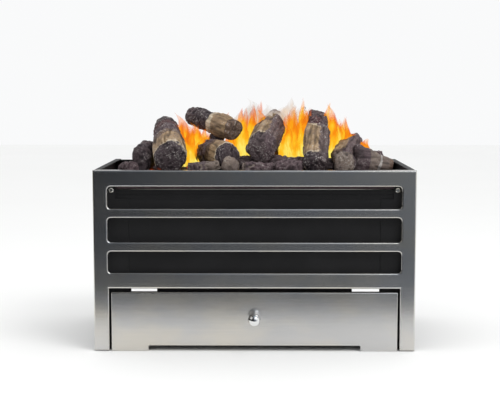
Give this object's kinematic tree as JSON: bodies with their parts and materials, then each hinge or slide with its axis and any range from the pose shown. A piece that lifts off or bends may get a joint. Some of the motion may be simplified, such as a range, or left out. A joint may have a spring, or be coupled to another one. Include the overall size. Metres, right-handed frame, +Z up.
{
  "type": "electric fire basket",
  "caption": "Electric fire basket: steel fret with long slots, black chassis, loose ashpan cover with ball knob, lift-out log bed over a mist flame engine.",
  "frame": {"origin": "middle of the whole object's footprint, on the floor", "axes": "+Z up, +X to the viewer's right, the fret faces -Y"},
  "size_m": [0.56, 0.3518, 0.4263],
  "materials": {
    "steel": "fine brushed, satin",
    "chrome": "polished",
    "black_sheet": "satin black powder coat",
    "dark_screw": "black zinc",
    "bright_screw": "bright zinc",
    "rubber": "matt",
    "black_plastic": "fine texture",
    "grey_plastic": "moulded",
    "tank_plastic": "translucent blow moulding",
    "cap_plastic": "ribbed",
    "disc_metal": "plain",
    "holder_ceramic": "unglazed ceramic",
    "lamp_glass": "amber coated lamp glass",
    "core_steel": "varnished laminations",
    "ember": "moulded, painted ash and embers",
    "charred_log": "moulded, painted bark and char"
  },
  "bodies": {
    "chassis": {"back_panel": "black_sheet", "back_screws": "dark_screw", "base_shelf": "black_sheet", "control_panel": "black_sheet", "cord_gland": "rubber", "dimmer": "black_plastic", "drawer_runners": "black_plastic", "driver_box": "black_plastic", "duct_seal": "rubber", "engine_housing": "black_sheet", "fan_housing": "black_plastic", "fan_screws": "bright_screw", "fan_spout": "grey_plastic", "foot_pads": "rubber", "fret_screws": "dark_screw", "front_fret": "steel", "front_liner": "black_sheet", "lamp_bar": "black_sheet", "lamp_holders": "holder_ceramic", "lamps": "lamp_glass", "left_side_panel": "black_sheet", "liner_screws": "bright_screw", "mist_duct": "grey_plastic", "rear_ledge": "black_sheet", "right_side_panel": "black_sheet", "switch_bodies": "black_plastic", "transformer": "core_steel"},
    "drawer": {"mist_drawer": "black_sheet", "sump": "grey_plastic", "sump_lid": "grey_plastic", "mist_discs": "disc_metal", "water_tank": "tank_plastic", "tank_cap": "cap_plastic"},
    "cover": {"ashpan_cover": "steel", "cover_knob": "chrome", "knob_screw": "bright_screw"},
    "fuel_bed": {"fuel_tray": "black_sheet", "ember_bed": "ember", "big_left_log": "charred_log", "left_rear_log": "charred_log", "mid_left_log": "charred_log", "centre_log": "charred_log", "split_log": "charred_log", "angular_log": "charred_log", "front_right_log": "charred_log", "gnarled_log": "charred_log", "top_left_log": "charred_log", "cross_log": "charred_log", "corner_log": "charred_log", "left_prop_log": "charred_log", "inner_prop_log": "charred_log", "middle_prop_log": "charred_log", "right_prop_log": "charred_log", "kindling": "charred_log"},
    "power_switch": {"power_rocker": "black_plastic"},
    "flame_switch": {"flame_rocker": "black_plastic"},
    "dial": {"flame_dial": "black_plastic"},
    "fan": {"fan_rotor": "black_plastic"}
  },
  "joints": [
    {"name": "drawer_slide", "type": "slide", "parent": "chassis", "child": "drawer", "axis": [0, -1, 0], "range_m": [0, 0.22]},
    {"name": "cover_slide", "type": "slide", "parent": "drawer", "child": "cover", "axis": [0, -1, 0], "range_m": [0, 0.2]},
    {"name": "fuel_bed_lift", "type": "slide", "parent": "chassis", "child": "fuel_bed", "axis": [0, 0, 1], "range_m": [0, 0.12]},
    {"name": "power_rock", "type": "hinge", "parent": "chassis", "child": "power_switch", "pos_m": [-0.12, -0.1249, 0.092], "axis": [0, 0, -1], "range_deg": [0, 18]},
    {"name": "flame_rock", "type": "hinge", "parent": "chassis", "child": "flame_switch", "pos_m": [-0.084, -0.1249, 0.092], "axis": [0, 0, -1], "range_deg": [0, 18]},
    {"name": "dial_turn", "type": "hinge", "parent": "chassis", "child": "dial", "pos_m": [0.11, -0.1259, 0.092], "axis": [0, -1, 0], "range_deg": [0, 270]},
    {"name": "fan_spin", "type": "hinge", "parent": "chassis", "child": "fan", "pos_m": [-0.112, 0.0141, 0.1182], "axis": [0, 0, 1], "continuous": true}
  ]
}
